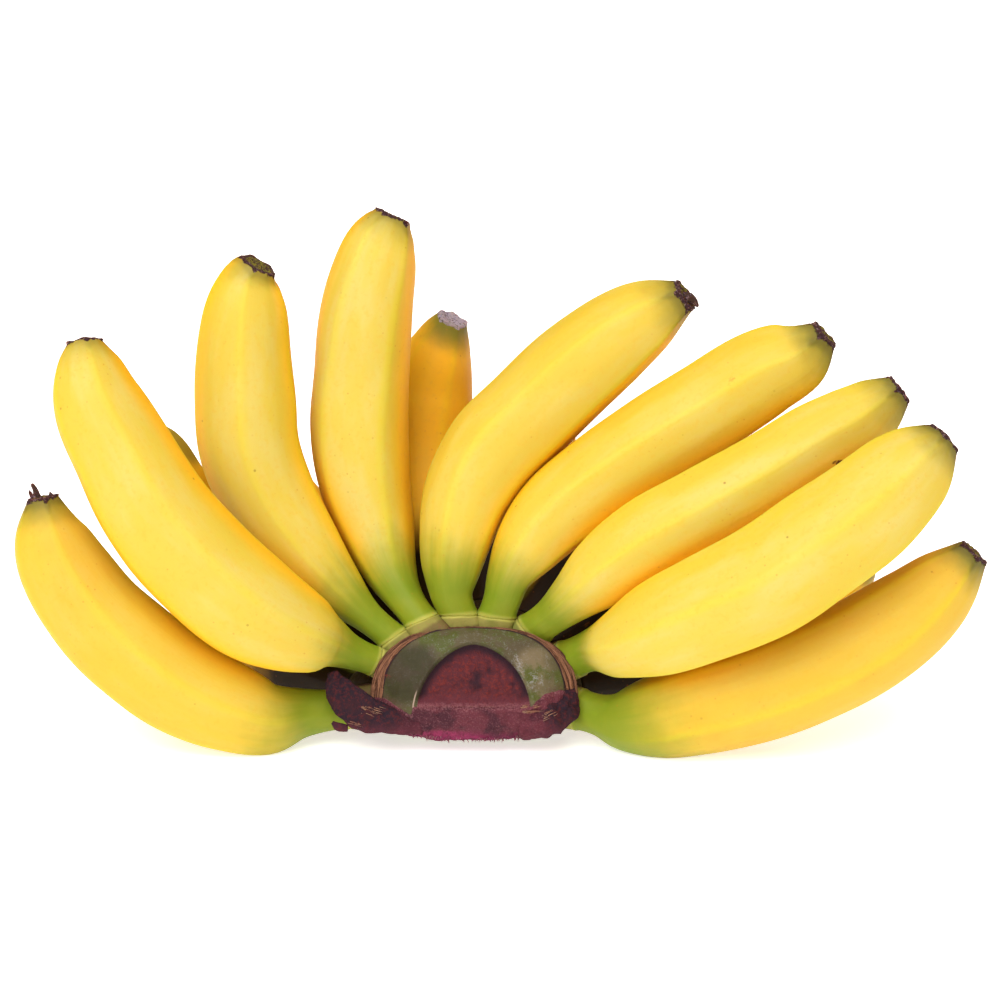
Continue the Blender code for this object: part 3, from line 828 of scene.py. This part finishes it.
# %% The arches: (back, half width, top, bottom, squareness), in mm, and rings to the next
CROWN_SIDEWAYS = 1.9
ARCHES = (
    ((-8.5, 0.4, 0.4, 0.0, 1.75), 12), ((-8.4, 7.0, 7.6, 0.05, 1.75), 16),
    ((-8.2, 13.9, 15.5, 0.1, 1.76), 2), ((-9.0, 14.6, 16.3, 0.4, 1.75), 2),
    ((-9.8, 14.9, 16.7, 0.8, 1.74), 2), ((-10.0, 15.4, 17.1, 1.3, 1.74), 3),
    ((-9.6, 16.2, 17.6, 2.2, 1.74), 10), ((-8.4, 20.0, 19.0, 5.4, 2.0), 12),
    ((-6.4, 23.4, 20.2, 8.2, 2.5), 3), ((-5.9, 23.8, 20.4, 8.6, 2.55), 2),
    ((-5.6, 23.6, 20.1, 8.6, 2.55), 2), ((-5.3, 24.7, 20.4, 8.7, 2.55), 2),
    ((-5.0, 24.5, 20.1, 8.7, 2.55), 2), ((-4.7, 25.9, 20.5, 8.7, 2.6), 2),
    ((-4.4, 25.6, 20.2, 8.7, 2.6), 2), ((-4.0, 26.9, 20.5, 8.7, 2.6), 2),
    ((-3.4, 26.2, 19.8, 8.6, 2.6), 2), ((-2.5, 25.0, 19.2, 8.5, 2.6), 5),
    ((5, 23.9, 18.6, 8, 2.6), 8), ((15, 23.0, 17.9, 7, 2.5), 5), ((20, 19.9, 15.2, 5.8, 2.3), 4),
    ((23, 12, 9.7, 4, 2.1), 5), ((23.8, 0.5, 0.5, 0.3, 2), 1),
)
FACE_ROW, COLLAR_ROW, SCAR_ROW, CUSHION_ROW = 2.0, 5.5, 9.0, 16.5
CROWN_SIDES = 256
rows = []
for k, ((arch, count), (after, _)) in enumerate(zip(ARCHES, ARCHES[1:])):
    for step in range(count):
        rows.append((k + step / count, Vector(arch).lerp(Vector(after), step / count)))
rows.append((len(ARCHES) - 1.0, Vector(ARCHES[-1][0])))


def arch_point(arch, turn):
    back, half_width, top, bottom, squareness = arch
    across, up = math.cos(turn), math.sin(turn)
    across = math.copysign(abs(across) ** (2 / squareness), across)
    up = math.copysign(abs(up) ** (2 / squareness), up)
    return Vector((CROWN_SIDEWAYS + half_width * across, back, (top if up > 0 else bottom) * up))


print("the crown has", len(rows), "arches of", CROWN_SIDES, "points")

# %% [markdown]
# The purple, torn part is the lower strip, and it climbs on both sides. Its edge is a simple
# height for every distance across, and each point of the crown carries how far above that edge it
# is. The material then draws a clean edge between wax and torn flesh.

# %% The crown's body
FLUSH_BACK = -9.9  # where the cut face runs into the torn strip below it
TORN_EDGE = ((-60, 2.2), (-21.2, 2.2), (-14.3, -2.0), (-13.6, 0.3), (16.8, 0.3), (17.6, 1.3),
             (20.1, 3.4), (24.5, 4.4), (27.3, 3.1), (60, 3.0))


def torn_edge(across):
    """Height of the edge between the waxy collar and the torn strip below it."""
    for (left, low), (right, high) in zip(TORN_EDGE, TORN_EDGE[1:]):
        if across <= right:
            return low + (high - low) * (across - left) / (right - left)


body = straight_tube(len(rows), CROWN_SIDES)
zone = body.verts.layers.float_vector.new("zone")
for vert in body.verts:
    ring, turn = ring_and_turn(vert)
    row, arch = rows[ring]
    place = arch_point(arch, turn)
    edge = place.z - torn_edge(place.x)
    vert[zone] = (row, edge, turn)
    if row < COLLAR_ROW:
        flush = min(1, max(0, (3.2 - edge) / 3.2))
        place.y += (FLUSH_BACK - place.y) * flush * flush * (3 - 2 * flush)
    if row < FACE_ROW:
        near_rim = min(1, (FACE_ROW - row) * 4)
        place.y += (0.40 * noise.noise(place / 1.3) + 0.22 * noise.noise(place / 0.55)) * near_rim
    elif edge < 0 and row < CUSHION_ROW:
        torn_depth = min(1, -edge / 1.5)
        place += noise.noise_vector(place / 2.4) * 0.55 * torn_depth
        place += noise.noise_vector(place / 0.7) * 0.28 * torn_depth
    elif SCAR_ROW <= row < CUSHION_ROW:
        along = Vector((place.x / 5, row * 2, place.z / 5))
        place += noise.noise_vector(along) * 0.35 + noise.noise_vector(place / 1.2) * 0.12
    else:
        place += noise.noise_vector(place / 9) * 0.25
    vert.co = stand(place)
print("crown points:", len(body.verts))

# %% [markdown]
# ## The crown's finishes
#
# One material paints the whole body, because its zones run into each other: granular dark flesh
# on the cut, a painted highlight on the lip at its left, grey-green wax, brown papery scar, and
# green cushion.

# %% The crown's material
WAX = (0.092, 0.082, 0.042)
WAX_GREEN = (0.065, 0.088, 0.013)
WAX_MAUVE = (0.080, 0.063, 0.040)
WAX_DARK = (0.026, 0.020, 0.012)
WAX_WARM = (0.24, 0.195, 0.12)
WAX_LINE = (0.030, 0.014, 0.022)
BLOOM = (0.34, 0.34, 0.36)
LIP_HIGHLIGHT = (0.42, 0.32, 0.27)
FLESH = (0.085, 0.018, 0.026)
FLESH_RED = (0.17, 0.024, 0.020)
FLESH_DARK = (0.018, 0.008, 0.016)
TORN = (0.115, 0.026, 0.040)
TORN_PALE = (0.30, 0.13, 0.15)
MAGENTA = (0.22, 0.020, 0.085)
MAGENTA_FRESH = (0.33, 0.035, 0.12)
SCAR = (0.34, 0.16, 0.09)
SCAR_DARK = (0.09, 0.038, 0.025)
CUSHION_GREEN = (0.25, 0.30, 0.045)


def crown_paint():
    material, start, here = paint("crown")
    zone_of = start.carried("zone")
    row, edge, _ = zone_of.parts()
    wide, soft = here.grain(90, 2.0), here.grain(170)
    fine, dust = here.grain(900, 3.0, 0.65), here.grain(2600, 2.0)

    # wax: mauve, warm, green, dark and bloomed patches, a painted lip highlight, a rusty mark
    bloomed = here.spot((13.0, -9.5, 9.0), (2.0, 3.5, 5.0))
    bloomed = bloomed + here.spot((17.5, -9, 7.0), (2.4, 3.5, 3.0))
    # painted highlight: a pale streak where the lip's edge at the left catches the light
    lip_highlight = here.spot((-12.7, -10, 0.8), (1.5, 4, 3.6)) * row.rise(4.7, 5.0) * row.rise(5.5, 5.2)
    frayed = edge.rise(2.4, 0.0) * row.rise(5.5, 6.5) * fine.rise(0.4, 0.6)
    wax = start.colour(WAX).coats(
        (WAX_MAUVE, wide.rise(0.40, 0.62) * 0.6),
        (WAX_WARM, here.spot((19, -8, 8), (8, 6, 9)) * wide.rise(0.30, 0.55) * 0.6),
        (WAX_GREEN, (soft + (fine - 0.5) * 0.3).rise(0.43, 0.62) * 0.85),
        (BLOOM, dust.rise(0.40, 0.75) * fine.rise(0.40, 0.75) * 0.4),
        (WAX_DARK, here.spot((-15, -9, 9), (9, 6, 10)) * (0.35 + soft * 0.7)),
        (BLOOM, bloomed * (fine * 0.6 + dust * 0.5).rise(0.48, 0.75) * 0.7),
        (LIP_HIGHLIGHT, lip_highlight * 0.8),
        (WAX_LINE, row.rise(8.0, 8.7) * 0.95),
        (SCAR_DARK, frayed * 0.5),
        (FLESH_RED, here.spot((-20.5, -8, 7.5), (1.2, 3, 0.6)) * dust.rise(0.45, 0.6) * 0.8),
    )

    # flesh: the cut itself, darker at its rim, and the torn strip below it
    ragged = edge + (fine - 0.5) * 2
    frost = ragged.rise(1.3, 0.3) * ragged.rise(-1.4, -0.4) * dust.rise(0.35, 0.65) * 0.4
    flesh = start.colour(FLESH).coats(
        (FLESH_RED, (fine * 0.6 + dust * 0.4).rise(0.46, 0.62) * 0.7),
        (FLESH_DARK, soft.rise(0.50, 0.68) * 0.8),
        (FLESH_DARK, row.rise(1.70, 1.98) * edge.rise(0.2, 3.5) * 0.9),
        (TORN, (edge + (soft - 0.5) * 4).rise(3.6, 0.0) * 0.8),
        (TORN_PALE, frost),
    )
    fresh = here.spot((-7, -7, -8.4), (12, 6, 2.6)) * (fine * 0.5 + dust * 0.5).rise(0.3, 0.7)
    torn = start.colour(TORN).coats(
        (FLESH_DARK, soft.rise(0.45, 0.65) * 0.6),
        (FLESH_DARK, here.spot((-13, -9, -3.5), (7, 6, 4)) * 0.5),
        (TORN_PALE, dust.rise(0.48, 0.75) * 0.35),
        (TORN_PALE, frost),
        (MAGENTA, (edge + (soft - 0.5) * 3).rise(-6.0, -8.6) * 0.6),
        (MAGENTA_FRESH, fresh * 0.8),
    )

    # each zone from the back to the front, over the green cushion
    layers = zone_of.stretch((4.0, 0.0, 2.5)).grain(1.0, 4.0, 0.65)
    scar = start.colour(SCAR).tint(SCAR_DARK, layers.rise(0.42, 0.6))
    torn_share = (edge + (fine - 0.5) * 0.9).rise(0.12, -0.12) * row.rise(18.5, 17.0)
    colour = start.colour(CUSHION_GREEN).coats(
        (SCAR_DARK, fine.rise(0.55, 0.75) * 0.4),
        (scar, row.rise(17.0, 16.4)),
        (wax, row.rise(9.3, 9.1)),
        (torn, torn_share),
        (flesh, row.rise(2.9, 2.6) * edge.rise(-0.6, 0.2)),
    )
    waxy = row.rise(3.0, 3.4) * row.rise(9.2, 8.8) * edge.rise(-0.1, 0.1)
    relief = fine * 0.6 * (1 - waxy * 0.8) + dust * 0.4 * (1 - waxy * 0.7)
    relief = relief + layers * row.rise(8.8, 9.2)
    finish_paint(start, colour, 0.68 - waxy * 0.2, relief, 0.0005, 0.12)
    return material


make_piece("crown_body", body, crown_paint(), "crown", "crown")
print("crown body made")

# %% [markdown]
# ## Pads
#
# Between each neck and the cushion sits a short pad, a stump that is a little duller than the
# neck, with a fine crease at the joint and painted shade on its side that faces the other row. It
# is a short tube again, from just under the neck into the cushion, and it grows squarer as it goes
# in, because neighbours press against each other.

# %% The pads
PAD_STEPS = ((0.05, -0.9), (0.1, -0.3), (0.3, -0.02), (0.6, 0.10), (1.2, 0.15), (2.2, 0.2),
             (3.6, 0.3), (5.2, 0.4), (7.0, 0.5), (9.0, 0.4), (11.0, 0.2))
PAD_SIDES = 64
PAD_GREEN = (0.27, 0.255, 0.060)
PAD_DARK = (0.18, 0.20, 0.035)


def pad_paint():
    material, start, here = paint("pad")
    depth, groove, behind = start.carried("on_pad").parts()
    soft, fine = here.grain(220), here.grain(1100)
    colour = start.colour(PAD_GREEN).coats(
        (PAD_DARK, soft.rise(0.4, 0.7)),
        (SCAR, (fine + depth * 0.03).rise(0.60, 0.85) * 0.5),
        (SCAR_DARK, groove.rise(0.93, 1.0) * 0.8),
        (SCAR_DARK, (depth + (soft - 0.5) * 2).rise(2.4, 4.0) * 0.6),
        (PALE_JOINT, depth.rise(0.9, 0.3) * 0.6),
        # painted shade on the side of each pad that faces the other row
        (PAINTED_GAP_SHADE, behind.rise(0.0, 0.8) * 0.9),
    )
    finish_paint(start, colour, 0.55 + fine * 0.2, soft * 0.3 + fine, 0.0002, 0.15)
    return material


pads = bmesh.new()
pad_mesh = bpy.data.meshes.new("one pad")
for line, look in zip(front_lines + back_lines, FRONT_LOOKS + BACK_LOOKS):
    bm = straight_tube(len(PAD_STEPS), PAD_SIDES)
    on_pad = bm.verts.layers.float_vector.new("on_pad")
    for vert in bm.verts:
        ring, turn = ring_and_turn(vert)
        depth, wider = PAD_STEPS[ring]
        middle, way, facing, side, radius = line.frame(-depth)
        flat = 2 / (2 + 1.6 * min(depth / 2.5, 1))
        front = math.copysign(abs(math.cos(turn)) ** flat, math.cos(turn))
        across = math.copysign(abs(math.sin(turn)) ** flat, math.sin(turn))
        across *= (1 + FOOT) * (radius + wider)
        place = middle + facing * front * (radius + wider) + side * across
        place += way * joint_slide(across, front * (radius + wider), *look[7:], depth)
        place += noise.noise_vector(place / 2.5) * 0.12
        between_rows = max(front if line in back_lines else -front, 0)
        vert[on_pad] = (depth, abs(math.sin(turn)), between_rows)
        vert.co = stand(place)
    bm.to_mesh(pad_mesh)
    bm.free()
    pads.from_mesh(pad_mesh)
bpy.data.meshes.remove(pad_mesh)
make_piece("crown_pads", pads, pad_paint(), "crown")
print("pads:", len(front_lines + back_lines))

# %% [markdown]
# ## Torn rags of leaf base
#
# On each side of the cut hangs a dried rag, all that is left of a bract. Each is a flattened
# bar through a few points, thick in the middle and thin at its end.

# %% The rags: (across, back, up, half width, half thickness) in mm
LEFT_RAG = ((-11, -6.2, -4.6, 2.4, 1.4), (-19, -8, -3.6, 3.3, 1.9), (-26, -8.4, -1.6, 4.7, 1.8),
            (-31, -8.4, 2, 4.4, 1.5), (-33.6, -8.2, 6.2, 3.2, 1.1), (-34.4, -8, 9.2, 1.4, 0.7))
SMALL_RAG = ((-30.6, -7.6, -5.4, 0.9, 0.5), (-32.8, -8, -5.2, 1.2, 0.5),
             (-34.6, -8, -3.8, 0.5, 0.3))
RIGHT_RAG = ((13.5, -6.0, -6.2, 2.2, 1.7), (19.0, -7.6, -4.0, 4.2, 2.4),
             (24.0, -6.8, -1.9, 4.0, 2.3), (26.6, -5.8, 1.2, 2.5, 1.7), (25.2, -5.4, 4.2, 1.2, 0.9))
RAG_BROWN = (0.042, 0.014, 0.020)
RAG_BLUE = (0.020, 0.012, 0.022)


def rag_paint():
    material, start, here = paint("torn leaf base")
    soft, fine, dust = here.grain(180), here.grain(1000, 4.0, 0.7), here.grain(2600, 2.0)
    torn = start.colour(TORN).coats(
        (FLESH_DARK, soft.rise(0.42, 0.60) * 0.7),
        (TORN_PALE, dust.rise(0.48, 0.75) * 0.35),
    )
    across, _, up = here.parts()
    aside = start.sum("ABSOLUTE", across / MM - CROWN_PLACE.x - CROWN_SIDEWAYS, 0)
    colour = start.colour(RAG_BROWN).coats(
        (RAG_BLUE, soft.rise(0.36, 0.56) * 0.9),
        (FLESH_RED, (fine + soft * 0.3).rise(0.62, 0.8) * 0.35),
        (torn, (aside + (soft - 0.5) * 9).rise(22, 16)),
        (TORN, (up * -400 + soft * 3).rise(-2.8, -1.0) * 0.6),
    )
    finish_paint(start, colour, 0.62 + fine * 0.2, fine, 0.0005, 0.1)
    return material


rags = bmesh.new()
add_bar(rags, LEFT_RAG, 48, 48, 0.18, 0.6)
add_bar(rags, SMALL_RAG, 12, 16, 0.12, 0.3)
add_bar(rags, RIGHT_RAG, 40, 48, 0.24, 1.0)
make_piece("crown_rags", rags, rag_paint(), "crown")
print("rags: 3")

# %% [markdown]
# ## Loose fibres
#
# Where it was torn, the strip ends in a fringe of short pink fibres, and a few tan ones lie on
# the rags. Each is a thin four-sided cone laid along its direction and moved into place, so that
# hundreds of them stay light.

# %% The fringe and the tan fibres
rng = random.Random(7)


def add_fibre(bm, place, way, length, thick, crumpled):
    """A tapered fibre from this place of the upright fan, in mm, along a direction."""
    way = Vector(way).normalized()
    turned = Vector((0, 0, 1)).rotation_difference(way).to_matrix().to_4x4()
    made = bmesh.ops.create_cone(
        bm, cap_ends=True, segments=4, radius1=thick, radius2=thick * 0.25, depth=length,
        matrix=Matrix.Translation(Vector(place) + way * length / 2) @ turned,
    )
    for vert in made["verts"]:
        vert.co += noise.noise_vector(vert.co / 0.8) * crumpled
        vert.co = stand(vert.co)
        vert.co.z = max(vert.co.z, 0.0002)


def plain_paint(name, colour, other, scale):
    material, start, here = paint(name)
    mixed = start.colour(colour).tint(other, here.grain(scale, 2.0).rise(0.4, 0.6))
    finish_paint(start, mixed, 0.7 + here.grain(scale) * 0.1, here.grain(3000), 0.0001)
    return material


FRINGE_COUNT = 420
fringe = bmesh.new()
for _ in range(FRINGE_COUNT):
    turn = math.radians(rng.uniform(188, 352))
    place = arch_point(Vector(ARCHES[8][0]).lerp(Vector(ARCHES[10][0]), rng.random()), turn)
    place += Vector((rng.uniform(-0.3, 0.3), rng.uniform(-0.6, 0.2), rng.uniform(-0.1, 0.5)))
    way = (rng.uniform(-0.7, 0.7) + 0.6 * math.cos(turn), rng.uniform(-0.9, 0.1), -1)
    add_fibre(fringe, place, way, rng.uniform(0.4, 1.2), rng.uniform(0.10, 0.24), 0.12)
make_piece("crown_fringe", fringe, plain_paint("pink fringe", MAGENTA, TORN_PALE, 900), "crown")

TAN = (0.36, 0.20, 0.13)
TAN_PATCHES = (  # (middle, spread, how many, slope)
    ((-24.5, -10.4, -0.4), (2.6, 0.2, 1.0), 26, -0.35),
    ((15.5, -10.0, -0.4), (2.2, 0.2, 1.0), 34, 0.12),
    ((-29, -10, -4.0), (2.0, 0.2, 0.5), 7, -0.2),
    ((21, -10, -2.4), (2.0, 0.2, 1.0), 12, 0.5),
)
tan_fibres = bmesh.new()
for middle, spread, count, slope in TAN_PATCHES:
    for _ in range(count):
        place = [m + rng.uniform(-s, s) for m, s in zip(middle, spread)]
        way = (1, rng.uniform(-0.05, 0.05), slope + rng.uniform(-0.1, 0.1))
        add_fibre(tan_fibres, place, way, rng.uniform(1.0, 2.4), rng.uniform(0.045, 0.08), 0.02)
make_piece("crown_tan_fibres", tan_fibres, plain_paint("tan fibre", TAN, SCAR, 500), "crown")
print("fringe and tan fibres made")
